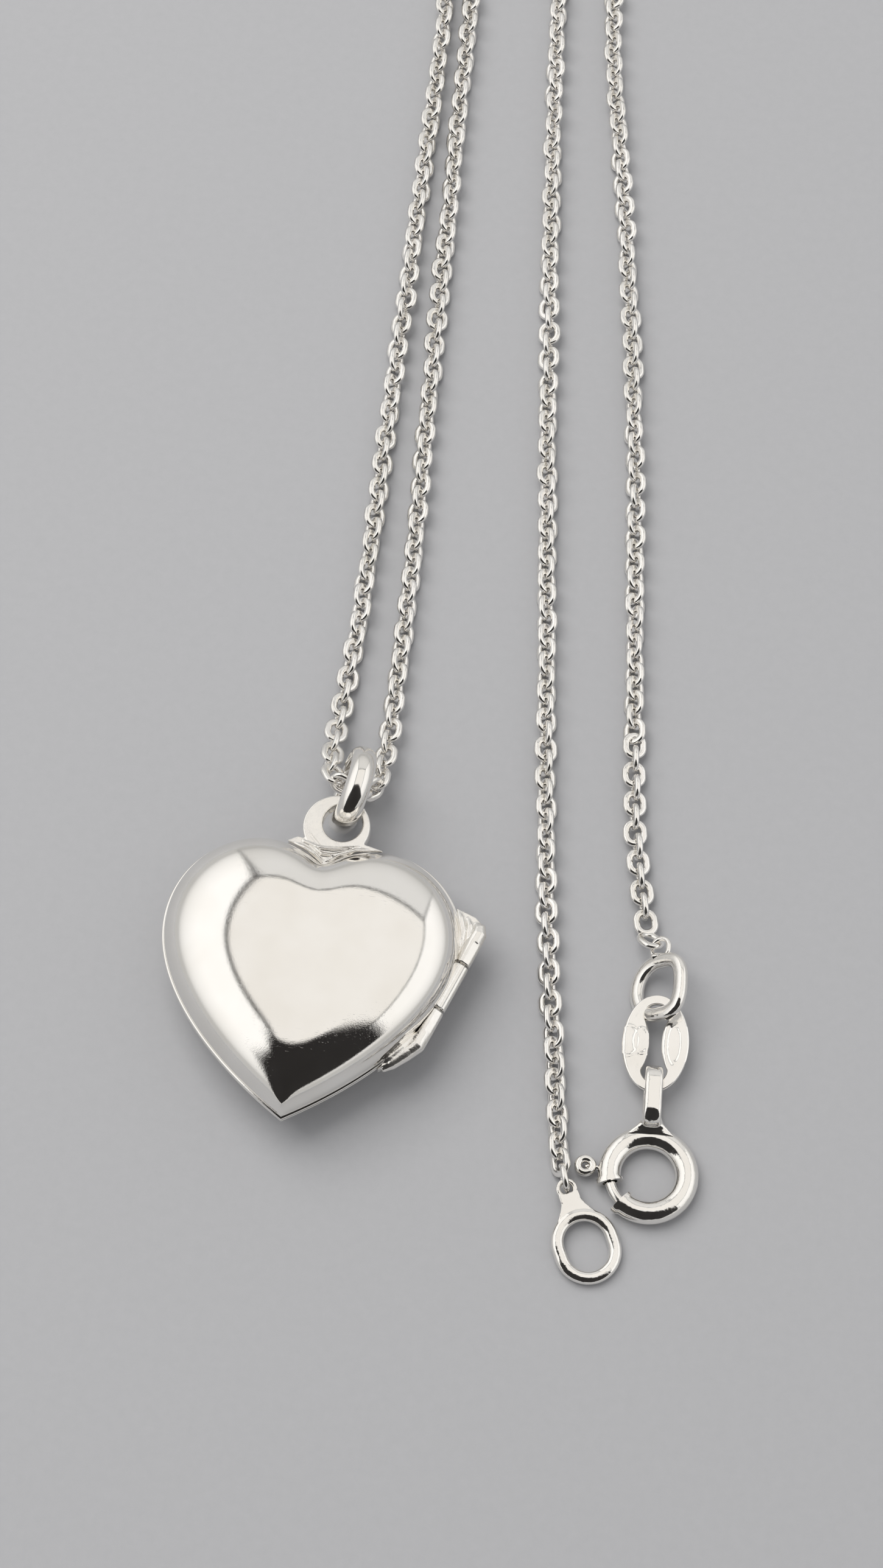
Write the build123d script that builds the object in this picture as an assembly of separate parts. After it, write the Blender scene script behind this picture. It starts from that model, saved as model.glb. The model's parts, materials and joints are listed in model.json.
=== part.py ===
"""Heart locket, hinged along its right flank, hanging by an oval bail on a cable chain.

Lengths are millimetres.  The locket lies on its back cover: +Z is up, +Y runs from the
heart's tip to its cleft, and the origin is the middle of the flat patch that it rests on.
"""
from build123d import *
from math import cos, pi, radians, sin, tan
import os

# ---- driving dimensions -----------------------------------------------------------------
HALF_WIDTH = 8.5          # heart: widest point from its axis
SIDE_Y = 2.0              # height of that widest point
LOBE = (3.4, 7.6)         # top of a lobe
CLEFT_Y = 6.3
TIP_Y = -8.9

SEAM_Z = 2.8              # where the two covers meet
WALL = 0.4                # sheet thickness of a cover
RIM_HEIGHT = 0.25         # flat edge round the open side of a cover
RIM_STEP = 0.985          # the dome starts just inside the rim
CROWN = 0.45              # the flat crown is this fraction of the outline
DOME_FULLNESS = 2.3       # exponent of the dome's profile: 2 is an ellipse
DOME_LEVELS = 6

HINGE_MIDDLE = (8.08, 0.1)    # centre of the hinge's middle knuckle
HINGE_LEAN = 19.7             # the hinge leans this far from +Y, towards +X
BARREL_RADIUS = 0.45
MIDDLE_KNUCKLE = 2.9
TOP_KNUCKLE = 2.45
BOTTOM_KNUCKLE = 2.9
KNUCKLE_GAP = 0.1
PIN_RADIUS = 0.2
PIN_PLAY = 0.04               # radial clearance in the moving knuckle
HINGE_PLAY = 0.1              # clearance round a knuckle in the other cover

BAIL_CENTRE = (0.87, 11.42, 2.75)
BAIL_RADIUS = 2.65            # outside
BAIL_WIDTH = 1.5
BAIL_THICKNESS = 0.9
BAIL_TURN = -6.0              # the bail's plane is turned from +Y, towards +X
BAIL_LEAN = 15.0              # and its top leans towards +X

CHAIN_DIAMETER = 1.2          # the chain as it lies, with its links at 45 degrees
LINK_LENGTH = 1.62
LINK_WIDTH = 1.42
LINK_WIRE = 0.34

CLASP_CENTRE = (20.4, -8.5)   # centre of the spring ring
CLASP_TURN = 3.4              # the clasp's line is turned from +Y, towards -X
RING_RADIUS = 2.75            # spring ring, outside
RING_TUBE = 1.2               # diameter of its tube
RING_BORE = 0.9
GAP_START = 199.0             # the ring's opening, counter-clockwise from +X
GAP_END = 231.0
TRIGGER_WIRE = 0.7
TRIGGER_TAIL = 157.0
TRIGGER_TIP = 237.0
TRIGGER_TRAVEL = 41.0
KNOB_ANGLE = 179.0
KNOB_RADIUS = 0.56

END_RING_CENTRE = (17.5, -12.95)
END_RING_TURN = 26.0          # its long axis is turned from +Y, towards -X
END_RING_RISE = 4.0           # and climbs to the last link's height
END_LINK_TURN = 19.0


# ---- heart outlines ----------------------------------------------------------------------
def heart_wire(scale=1.0):
    """Outline of the heart, scaled about the origin: three curves a side, cleft to tip."""
    def side(sign):
        def at(x, y):
            return (sign * x * scale, y * scale)
        lobe_x, lobe_y = LOBE
        return [
            Bezier(at(0, CLEFT_Y), at(1.4, 7.3), at(2.6, lobe_y), at(lobe_x, lobe_y)),
            Bezier(at(lobe_x, lobe_y), at(5.9, lobe_y), at(HALF_WIDTH, 5.4),
                   at(HALF_WIDTH, SIDE_Y)),
            Bezier(at(HALF_WIDTH, SIDE_Y), at(HALF_WIDTH, -1.8), at(4.9, -5.9), at(0, TIP_Y)),
        ]
    return Wire(side(1) + side(-1))


def heart_plate(bottom, top, scale=1.0, hole=None):
    """Flat heart between two heights, with a smaller heart cut out of it if asked."""
    outline = Face(heart_wire(scale))
    if hole:
        outline = outline - Face(heart_wire(hole))
    return Pos(0, 0, bottom) * extrude(outline, amount=top - bottom, dir=(0, 0, 1))


def dome(scale, height):
    """Solid pillow on the z = 0 plane: hearts that shrink along a superelliptic profile."""
    levels = []
    for level in range(DOME_LEVELS + 1):
        angle = radians(90.0 * level / DOME_LEVELS)
        spread = cos(angle) ** (2 / DOME_FULLNESS) if level < DOME_LEVELS else 0.0
        rise = height * sin(angle) ** (2 / DOME_FULLNESS)
        level_scale = scale * (CROWN + (1 - CROWN) * spread)
        levels.append(Pos(0, 0, rise) * Face(heart_wire(level_scale)))
    return loft(levels)


# ---- locket covers and what they hold ----------------------------------------------------
def cover():
    """One cover with its open side down on z = 0: rim, dome and hollow."""
    inner_scale = 1 - WALL / HALF_WIDTH
    shell = heart_plate(0, RIM_HEIGHT) + dome(RIM_STEP, SEAM_Z)
    return shell - dome(inner_scale, SEAM_Z - WALL)


def hinge_plane():
    """Plane across the hinge: its z axis runs up the pin and its x axis points inward."""
    lean = radians(HINGE_LEAN)
    pin_direction = (sin(lean), cos(lean), 0)
    inward = (-cos(lean), sin(lean), 0)
    return Plane(origin=(*HINGE_MIDDLE, SEAM_Z), x_dir=inward, z_dir=pin_direction)


def hinge_span(start, end, radius):
    """Cylinder on the hinge axis between two distances from the hinge's middle."""
    rod = Cylinder(radius, end - start, align=(Align.CENTER, Align.CENTER, Align.MIN))
    return hinge_plane() * Pos(0, 0, start) * rod


def hinge_leaf(start, end, inward, height_from, height_to):
    """Flat leaf from the barrel's axis towards the cover, in the hinge's own directions."""
    leaf = Box(inward, height_to - height_from, end - start,
               align=(Align.MIN, Align.MIN, Align.MIN))
    return hinge_plane() * Pos(0, height_from, start) * leaf


HALF_MIDDLE = MIDDLE_KNUCKLE / 2
TOP_START = HALF_MIDDLE + KNUCKLE_GAP
TOP_END = TOP_START + TOP_KNUCKLE
BOTTOM_START = -HALF_MIDDLE - KNUCKLE_GAP
BOTTOM_END = BOTTOM_START - BOTTOM_KNUCKLE


def hinge_corner_plate():
    """Round-cornered plate that fills the gap between the top knuckle and the heart."""
    corner = hinge_plane().from_local_coords(Vector(0, 0, TOP_END))
    foot = hinge_plane().from_local_coords(Vector(0, 0, TOP_START))
    outline = Polyline((corner.X, corner.Y), (9.3, 4.3), (8.85, 4.65), (8.3, 4.8), (7.6, 4.95),
                       (7.4, 4.0), (foot.X - 0.5, foot.Y), (foot.X, foot.Y), close=True)
    plate = Pos(0, 0, SEAM_Z - 0.4) * extrude(make_face(outline), amount=0.6)
    above_seam = heart_plate(SEAM_Z, SEAM_Z + 1, 1 + HINGE_PLAY / HALF_WIDTH)
    return plate - above_seam


def hinge_tail_plate():
    """Plate that carries the bottom knuckle and runs out along the heart's side."""
    foot = hinge_plane().from_local_coords(Vector(0, 0, BOTTOM_START))
    corner = hinge_plane().from_local_coords(Vector(0, 0, BOTTOM_END))
    outline = Polyline((foot.X, foot.Y), (corner.X, corner.Y), (6.2, -4.55), (4.75, -5.3),
                       (4.75, -4.9), (7.1, -1.7), close=True)
    plate = Pos(0, 0, SEAM_Z - 0.4) * extrude(make_face(outline), amount=0.6)
    above_seam = heart_plate(SEAM_Z, SEAM_Z + 1, 1 + HINGE_PLAY / HALF_WIDTH)
    return plate - above_seam


def back_knuckle(start, end, plate):
    """Knuckle fixed to the back cover with its plate, bored to grip the pin."""
    low, high = min(start, end), max(start, end)
    knuckle = hinge_span(low, high, BARREL_RADIUS)
    knuckle = knuckle + hinge_leaf(low, high, 0.6, -BARREL_RADIUS, -0.05) + plate
    beyond_moving = hinge_span(-HALF_MIDDLE - KNUCKLE_GAP, HALF_MIDDLE + KNUCKLE_GAP, 1.5)
    return knuckle - beyond_moving - hinge_span(low - 1, high + 1, PIN_RADIUS)


def front_knuckle():
    """Knuckle fixed to the front cover, free to turn on the pin."""
    knuckle = hinge_span(-HALF_MIDDLE, HALF_MIDDLE, BARREL_RADIUS)
    knuckle = knuckle + hinge_leaf(-HALF_MIDDLE, HALF_MIDDLE, 0.6, 0.05, BARREL_RADIUS)
    return knuckle - hinge_span(-2, 2, PIN_RADIUS + PIN_PLAY)


def hinge_pin():
    return hinge_span(BOTTOM_END, TOP_END, PIN_RADIUS)


def back_cover(fixed_knuckles):
    """The lower shell.  Its wall is cut back round the hinge and meets its knuckles."""
    shell = Pos(0, 0, SEAM_Z) * Rot(180, 0, 0) * mirror(cover(), Plane.XZ)
    shell = shell - hinge_span(-HALF_MIDDLE - KNUCKLE_GAP, HALF_MIDDLE + KNUCKLE_GAP,
                               BARREL_RADIUS + HINGE_PLAY)
    for knuckle in fixed_knuckles:
        shell = shell - knuckle
    return shell - hinge_span(BOTTOM_END, TOP_END, BARREL_RADIUS)


def front_cover(moving_knuckle):
    """The upper shell, cleared round the fixed knuckles and the pin's ends."""
    shell = Pos(0, 0, SEAM_Z) * cover()
    shell = shell - hinge_span(BOTTOM_END - HINGE_PLAY, -HALF_MIDDLE,
                               BARREL_RADIUS + HINGE_PLAY)
    shell = shell - hinge_span(HALF_MIDDLE, TOP_END + HINGE_PLAY, BARREL_RADIUS + HINGE_PLAY)
    shell = shell - hinge_span(-HALF_MIDDLE, HALF_MIDDLE, BARREL_RADIUS)
    return shell - moving_knuckle


def snap_rim():
    """Thin lip inside the back cover that the front cover snaps over, open at the hinge."""
    lip = heart_plate(SEAM_Z - 0.5, SEAM_Z + 0.4, 0.943, 0.915)
    return lip - hinge_span(BOTTOM_END - 0.6, TOP_END + 1.2, 2.2)


FRAME_OPENING = 0.76      # the photo frames show this fraction of the outline


def photo_set(side):
    """Frame, clear window and card of one cover; side is +1 above the seam, -1 below."""
    def plate(near, far, scale, hole=None):
        low, high = sorted((SEAM_Z + side * near, SEAM_Z + side * far))
        return heart_plate(low, high, scale, hole)
    if side > 0:
        return plate(0.45, 0.95, 0.915, FRAME_OPENING), plate(0.96, 1.14, 0.89), \
            plate(1.16, 1.34, 0.87)
    return plate(0.25, 0.75, 0.905, FRAME_OPENING), plate(0.76, 0.94, 0.89), \
        plate(0.96, 1.14, 0.88)


# ---- eye and bail --------------------------------------------------------------------------
EYE_CENTRE = (0.35, 8.85)
EYE_RADIUS = 1.95
EYE_HOLE = (0.68, 9.12)
EYE_HOLE_RADIUS = 1.17
EYE_BOTTOM = 2.4
EYE_TOP = 3.2


def eye():
    """Flat eye on a wedge that fills the cleft, soldered to the back cover's rim."""
    disc = Pos(*EYE_CENTRE) * Circle(EYE_RADIUS)
    seat = make_face(Polyline((-1.75, 8.2), (-2.1, 7.2), (0, 5.8), (2.5, 7.3), (2.2, 8.2),
                              close=True))
    outline = disc + seat - Pos(*EYE_HOLE) * Circle(EYE_HOLE_RADIUS)
    plate = Pos(0, 0, EYE_BOTTOM) * extrude(outline, amount=EYE_TOP - EYE_BOTTOM)
    below_seam = heart_plate(EYE_BOTTOM - 1, SEAM_Z)
    above_seam = heart_plate(SEAM_Z, EYE_TOP + 1, 1 + 0.06 / CLEFT_Y)
    return plate - below_seam - above_seam


def bail_plane():
    """Plane of the bail's ring: x runs away from the locket, y up, and z along its axis."""
    turn = radians(BAIL_TURN)
    lean = radians(BAIL_LEAN)
    axis = (cos(lean) * cos(turn), cos(lean) * sin(turn), -sin(lean))
    return Plane(origin=BAIL_CENTRE, x_dir=(-sin(turn), cos(turn), 0), z_dir=axis)


def bail():
    """Closed round ring of D wire, flat side inward."""
    inner = BAIL_RADIUS - BAIL_THICKNESS
    half = BAIL_WIDTH / 2
    shoulder = inner + BAIL_THICKNESS * 0.35
    profile = make_face([
        Line((inner, -half), (inner, half)),
        Line((inner, half), (shoulder, half)),
        ThreePointArc((shoulder, half), (BAIL_RADIUS, 0), (shoulder, -half)),
        Line((shoulder, -half), (inner, -half)),
    ])
    ring = revolve(Plane.XZ * profile, axis=Axis.Z)
    return bail_plane() * ring


# ---- chain ---------------------------------------------------------------------------------
LIE = CHAIN_DIAMETER / 2      # the chain's centre lies this high

CHAIN_ROUTE = [
    # up from the end ring
    (15.56, -8.53, LIE), (15.2, -7.0, LIE), (14.75, -4.2, LIE), (13.75, 1.2, LIE),
    (12.45, 9.2, LIE), (10.9, 22.0, LIE), (8.4, 42.8, LIE), (6.15, 64.0, LIE),
    (5.15, 75.5, LIE),
    # the nearer bend, outside the view
    (5.7, 81.5, LIE), (7.0, 86.6, LIE), (7.2, 91.8, LIE), (2.4, 94.9, LIE),
    (-2.4, 92.0, LIE), (-2.3, 86.6, LIE), (-0.9, 81.6, LIE), (-0.35, 74.0, LIE),
    # down to the bail, round it, and up again
    (0.2, 61.0, LIE), (1.55, 36.0, LIE), (2.15, 23.5, LIE), (2.3, 17.6, LIE),
    (2.3, 14.4, 1.05), (2.25, 11.55, 1.97), (-0.63, 11.85, 2.75), (-0.85, 14.8, 1.25),
    (-0.75, 17.8, LIE), (-0.6, 23.8, LIE), (-0.95, 36.5, LIE), (-1.45, 56.5, LIE),
    (-2.0, 73.5, LIE),
    # the further bend, outside the view
    (-3.0, 81.5, LIE), (-4.6, 89.5, LIE), (-4.6, 97.0, LIE), (0.5, 102.0, LIE),
    (7.2, 101.3, LIE), (10.6, 95.5, LIE), (10.3, 87.5, LIE), (9.0, 80.0, LIE),
    # down to the clasp
    (9.1, 70.0, LIE), (11.8, 56.0, LIE), (14.3, 39.5, LIE), (15.9, 25.0, LIE),
    (17.1, 13.8, LIE), (17.9, 9.2, LIE), (18.65, 6.45, LIE),
]


def route_radii(points):
    """Largest arc at each corner: 0.45 of the shorter run over the tangent of half the turn."""
    radii = []
    for before, corner, after in zip(points, points[1:], points[2:]):
        run_in = Vector(corner) - Vector(before)
        run_out = Vector(after) - Vector(corner)
        half_turn = radians(run_in.get_angle(run_out)) / 2
        radii.append(0.45 * min(run_in.length, run_out.length) / tan(half_turn))
    return radii


def chain():
    """The whole chain as one round cord along its route."""
    radii = route_radii(CHAIN_ROUTE)
    path = FilletPolyline(*CHAIN_ROUTE, radius=radii)
    section = Plane(origin=path @ 0, z_dir=path % 0) * Circle(CHAIN_DIAMETER / 2)
    cord = sweep(section, path=path)
    print("chain radii", [round(radius, 1) for radius in radii])
    print("chain length", round(path.length, 1), "volume over section",
          round(cord.volume / (pi * CHAIN_DIAMETER ** 2 / 4), 1))
    return cord


def oval_wire(length, width, wire):
    """Closed oval ring lying flat, its long axis along Y: outside sizes and wire diameter."""
    straight = length - width
    radius = (width - wire) / 2
    path = SlotCenterToCenter(straight, 2 * radius).wire()
    start = path @ 0
    section = Plane(origin=start, z_dir=path % 0) * Circle(wire / 2)
    return Rot(0, 0, 90) * sweep(section, path=path)


# ---- end ring --------------------------------------------------------------------------------
END_RING_LENGTH = 4.2
END_RING_WIRE = 0.64
END_TAB_HOLE = 3.35       # distance of the tab's hole from the ring's centre


def end_ring_place():
    """Place of the end ring, its far side on the ground and its tab raised."""
    rise = radians(END_RING_RISE)
    height = END_RING_WIRE / 2 + (END_RING_LENGTH - END_RING_WIRE) / 2 * sin(rise)
    return Location((*END_RING_CENTRE, height), (0, 0, END_RING_TURN)) * Rot(END_RING_RISE, 0, 0)


def end_ring():
    """Oval ring with a flat tab, pierced for the chain's last link."""
    ring = oval_wire(END_RING_LENGTH, 3.7, END_RING_WIRE)
    tab = Pos(0, 2.65) * Rectangle(1.15, 1.7)
    tab = tab + Pos(0, END_TAB_HOLE) * Circle(0.575)
    tab = tab - Pos(0, END_TAB_HOLE) * Circle(0.34)
    plate = Pos(0, 0, -0.18) * extrude(tab, amount=0.36)
    return end_ring_place() * (ring + plate)


def upright_link():
    """One chain link standing on edge, its long axis along Y."""
    return Rot(0, 90, 0) * oval_wire(LINK_LENGTH, LINK_WIDTH, LINK_WIRE)


def ring_end_link():
    """Last link of the chain, through the end ring's tab."""
    hole = end_ring_place() * Pos(0, END_TAB_HOLE, 0)
    place = Location((hole.position.X, hole.position.Y, LINK_WIDTH / 2),
                     (0, 0, END_LINK_TURN))
    return place * Pos(0, (LINK_LENGTH - LINK_WIRE) / 2, 0) * upright_link()


# ---- clasp -------------------------------------------------------------------------------------
def clasp_place(along=0.0, height=0.0):
    """Place on the clasp's line, measured from the spring ring's centre towards the chain."""
    turn = radians(CLASP_TURN)
    x = CLASP_CENTRE[0] - along * sin(turn)
    y = CLASP_CENTRE[1] + along * cos(turn)
    return Location((x, y, height), (0, 0, CLASP_TURN))


RING_CENTRELINE = RING_RADIUS - RING_TUBE / 2


def ring_arc(start, end, diameter):
    """Piece of the spring ring's torus between two angles, round its own centre."""
    path = CenterArc((0, 0), RING_CENTRELINE, start, end - start)
    section = Plane(origin=path @ 0, z_dir=path % 0) * Circle(diameter / 2)
    return sweep(section, path=path)


RING_HEIGHT = RING_TUBE / 2
SPRING_STOP = 70.0            # the bore's blind end, behind the spring
SLOT_WIDTH = 0.36


def at_ring(shape):
    """Move a shape from the ring's own centre to its place; angles count from world +X."""
    return Pos(CLASP_CENTRE[0], CLASP_CENTRE[1], RING_HEIGHT) * shape


def knob_slot():
    """Slot in the tube's outer wall that the trigger's stem slides along."""
    start = KNOB_ANGLE - TRIGGER_TRAVEL - 7
    end = KNOB_ANGLE + 7
    sector = make_face([
        Line((0, 0), (4 * cos(radians(start)), 4 * sin(radians(start)))),
        CenterArc((0, 0), 4, start, end - start),
        Line((4 * cos(radians(end)), 4 * sin(radians(end))), (0, 0)),
    ])
    wedge = Pos(0, 0, -SLOT_WIDTH / 2) * extrude(sector, amount=SLOT_WIDTH)
    return wedge - Cylinder(RING_CENTRELINE, 2)


def spring_ring_body():
    """Hollow ring of tube with its opening, blind bore and trigger slot."""
    tube = ring_arc(GAP_END, GAP_START + 360, RING_TUBE)
    bore = ring_arc(SPRING_STOP, GAP_START + 1, RING_BORE)
    socket = ring_arc(GAP_END - 1, TRIGGER_TIP + 3, RING_BORE)
    return at_ring(tube - bore - socket - knob_slot())


def trigger():
    """Curved wire that closes the opening, with the stem and knob that draw it back."""
    bow = ring_arc(TRIGGER_TAIL, TRIGGER_TIP, TRIGGER_WIRE)
    turn = Rot(0, 0, KNOB_ANGLE)
    stem_length = 0.95
    stem = turn * Pos(RING_CENTRELINE + stem_length / 2, 0, 0) * Rot(0, 90, 0) \
        * Cylinder(0.13, stem_length)
    knob = turn * Pos(RING_CENTRELINE + stem_length + KNOB_RADIUS * 0.7, 0, 0) \
        * Sphere(KNOB_RADIUS)
    return at_ring(bow + stem + knob)


SPRING_TURNS = 12
SPRING_COIL = 0.56            # mean diameter of a turn
SPRING_WIRE = 0.12


def clasp_spring():
    """Compression spring bent round inside the tube: one short piece of wire a turn."""
    coils = []
    first = SPRING_STOP + 3
    step = (TRIGGER_TAIL - 3 - first) / (SPRING_TURNS - 1)
    for turn in range(SPRING_TURNS):
        place = Rot(0, 0, first + step * turn) * Pos(RING_CENTRELINE, 0, 0) * Rot(90, 0, 0)
        coils.append(place * Torus(SPRING_COIL / 2, SPRING_WIRE / 2))
    return at_ring(Compound(coils))


LOOP_NEAR = 2.5               # the loop's ends along the clasp's line
LOOP_FAR = 6.2
LOOP_HEIGHT = 2.2
LOOP_WIDTH = 1.0
LOOP_THICKNESS = 0.45


def clasp_loop():
    """Upright oval of flat wire on the spring ring's tube, which hooks the tag."""
    length = LOOP_FAR - LOOP_NEAR
    outer = SlotOverall(length, LOOP_HEIGHT)
    inner = SlotOverall(length - 2 * LOOP_THICKNESS, LOOP_HEIGHT - 2 * LOOP_THICKNESS)
    strip = Pos(0, 0, -LOOP_WIDTH / 2) * extrude(outer - inner, amount=LOOP_WIDTH)
    middle = (LOOP_NEAR + LOOP_FAR) / 2
    upright = clasp_place(middle, LOOP_HEIGHT / 2) * (Plane.YZ * strip)
    return upright - at_ring(Torus(RING_CENTRELINE, RING_TUBE / 2))


TAG_CENTRE = 7.5              # along the clasp's line
TAG_LENGTH = 5.76
TAG_WIDTH = 3.76
TAG_THICKNESS = 0.34
TAG_HEIGHT = 1.2
TAG_LEAN = -7.0               # its left edge hangs a little lower


def tag():
    """Oval tag with a slot that is wide at both ends and narrow in the middle."""
    outline = Ellipse(TAG_WIDTH / 2, TAG_LENGTH / 2)
    end_radius = 0.74
    end_offset = TAG_LENGTH / 2 - 0.56 - end_radius
    slot = Pos(0, end_offset) * Circle(end_radius) + Pos(0, -end_offset) * Circle(end_radius)
    slot = slot + Rectangle(0.7, 2 * end_offset)
    plate = Pos(0, 0, -TAG_THICKNESS / 2) * extrude(outline - slot, amount=TAG_THICKNESS)
    return clasp_place(TAG_CENTRE, TAG_HEIGHT) * Location((0, 0, 0), (0, TAG_LEAN, 0)) * plate


JOINING_RING_CENTRE = 10.75
JOINING_RING_TILT = -42.0     # turned about the clasp's line to pass through the tag's slot
JOINING_RING_LENGTH = 4.0
JOINING_RING_WIDTH = 3.7
JOINING_RING_WIRE = 0.58
JOINING_RING_HEIGHT = 1.36


def joining_ring():
    """Soldered ring between the chain and the tag."""
    ring = oval_wire(JOINING_RING_LENGTH, JOINING_RING_WIDTH, JOINING_RING_WIRE)
    return clasp_place(JOINING_RING_CENTRE, JOINING_RING_HEIGHT) \
        * Location((0, 0, 0), (0, JOINING_RING_TILT, 0)) * ring


RING_EYE_LENGTH = 1.5
RING_EYE_WIRE = 0.3
RING_EYE_TILT = -35.0
END_LINK_SWING = 50.0         # the last link hangs off the eye's upper left
END_LINK_TILT = 55.0          # between the planes of the eye and the link


def ring_eye_place():
    """Place of the small eye's centre, its plane tilted about the clasp's line."""
    along = JOINING_RING_CENTRE + JOINING_RING_LENGTH / 2 + RING_EYE_LENGTH / 2 - 0.3
    return clasp_place(along, JOINING_RING_HEIGHT) * Location((0, 0, 0), (0, RING_EYE_TILT, 0))


def joining_ring_eye():
    """Small wire eye soldered into the top of the joining ring, which it enters."""
    return ring_eye_place() * oval_wire(RING_EYE_LENGTH, 1.4, RING_EYE_WIRE)


def clasp_end_link():
    """Last link of the chain, through the eye of the joining ring."""
    reach = RING_EYE_LENGTH / 2 - RING_EYE_WIRE + LINK_LENGTH / 2 - LINK_WIRE
    link = Rot(0, END_LINK_TILT, 0) * oval_wire(LINK_LENGTH, LINK_WIDTH, LINK_WIRE)
    return ring_eye_place() * Rot(0, 0, END_LINK_SWING) * Pos(0, reach, 0) * link


# ---- the whole set of pieces ---------------------------------------------------------------
def build():
    top_knuckle = back_knuckle(TOP_START, TOP_END, hinge_corner_plate())
    bottom_knuckle = back_knuckle(BOTTOM_START, BOTTOM_END, hinge_tail_plate())
    middle_knuckle = front_knuckle()
    front_frame, front_window, front_card = photo_set(1)
    back_frame, back_window, back_card = photo_set(-1)
    return {
        "back_cover": back_cover([top_knuckle, bottom_knuckle]),
        "front_cover": front_cover(middle_knuckle),
        "hinge_knuckle_top": top_knuckle,
        "hinge_knuckle_middle": middle_knuckle,
        "hinge_knuckle_bottom": bottom_knuckle,
        "hinge_pin": hinge_pin(),
        "snap_rim": snap_rim(),
        "front_photo_frame": front_frame,
        "front_photo_window": front_window,
        "front_photo_card": front_card,
        "back_photo_frame": back_frame,
        "back_photo_window": back_window,
        "back_photo_card": back_card,
        "eye": eye(),
        "bail": bail(),
        "chain": chain(),
        "ring_end_link": ring_end_link(),
        "end_ring": end_ring(),
        "clasp_end_link": clasp_end_link(),
        "joining_ring_eye": joining_ring_eye(),
        "joining_ring": joining_ring(),
        "tag": tag(),
        "clasp_loop": clasp_loop(),
        "spring_ring_body": spring_ring_body(),
        "trigger": trigger(),
        "clasp_spring": clasp_spring(),
    }


os.makedirs("parts", exist_ok=True)
for node, shape in build().items():
    export_step(shape, f"parts/{node}.step")
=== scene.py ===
"""Looks of the heart locket: polished covers, separate chain links and cast clasp parts.

Shapes are written in millimetres and turned to metres where a mesh is made.
"""
import json
import random
from contextlib import contextmanager
from math import cos, hypot, pi, radians, sin

import bmesh
import bpy
import numpy as np
from mathutils import Matrix, Vector
from mathutils.geometry import interpolate_bezier


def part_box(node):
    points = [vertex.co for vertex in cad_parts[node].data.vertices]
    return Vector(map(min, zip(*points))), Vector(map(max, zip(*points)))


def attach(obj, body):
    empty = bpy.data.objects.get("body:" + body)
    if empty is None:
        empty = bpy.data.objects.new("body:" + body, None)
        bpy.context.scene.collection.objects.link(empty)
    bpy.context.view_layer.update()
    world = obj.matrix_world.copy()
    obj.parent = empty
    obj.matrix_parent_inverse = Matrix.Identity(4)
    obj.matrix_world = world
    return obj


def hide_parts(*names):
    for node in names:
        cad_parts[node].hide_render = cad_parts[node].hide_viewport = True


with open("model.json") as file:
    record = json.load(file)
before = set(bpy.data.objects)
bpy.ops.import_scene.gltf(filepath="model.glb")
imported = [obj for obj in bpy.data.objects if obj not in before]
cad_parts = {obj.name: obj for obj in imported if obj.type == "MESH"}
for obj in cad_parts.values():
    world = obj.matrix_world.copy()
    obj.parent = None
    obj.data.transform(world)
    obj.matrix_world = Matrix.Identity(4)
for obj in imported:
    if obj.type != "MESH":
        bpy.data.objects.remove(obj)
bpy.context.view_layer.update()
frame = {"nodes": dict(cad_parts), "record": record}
MM = 0.001
UP = Vector((0, 0, 1))
JOINTS = {joint["name"]: joint for joint in frame["record"]["behaviour"]["joints"]}


def joint_point(name):
    """A joint's place, in millimetres."""
    return Vector(JOINTS[name]["pos_m"]) / MM


def joint_axis(name):
    return Vector(JOINTS[name]["axis"]).normalized()


def box_mm(node):
    """Lowest and highest corner of a CAD node, in millimetres."""
    low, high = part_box(node)
    return low / MM, high / MM


def in_scene(name, data):
    """New object in the scene, round a camera, a lamp, a curve or a mesh."""
    piece = bpy.data.objects.new(name, data)
    bpy.context.scene.collection.objects.link(piece)
    return piece


# ---- camera ----
FILM_HEIGHT = 36.0
LENS = 67.08
CAMERA_PLACE = Vector((15.72, -57.24, 156.6))
CAMERA_TILT = 24.6            # degrees from straight down
CAMERA_TURN = 8.0             # degrees about the vertical
NEAREST_SEEN = 5.0


def make_camera():
    """Long view from above and in front, 65 degrees down."""
    data = bpy.data.cameras.new("camera")
    data.sensor_fit = "VERTICAL"
    data.sensor_height = FILM_HEIGHT
    data.lens = LENS
    data.clip_start = NEAREST_SEEN * MM
    camera = in_scene("camera", data)
    camera.location = CAMERA_PLACE * MM
    camera.rotation_euler = (radians(CAMERA_TILT), 0, radians(CAMERA_TURN))
    bpy.context.scene.camera = camera


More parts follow.
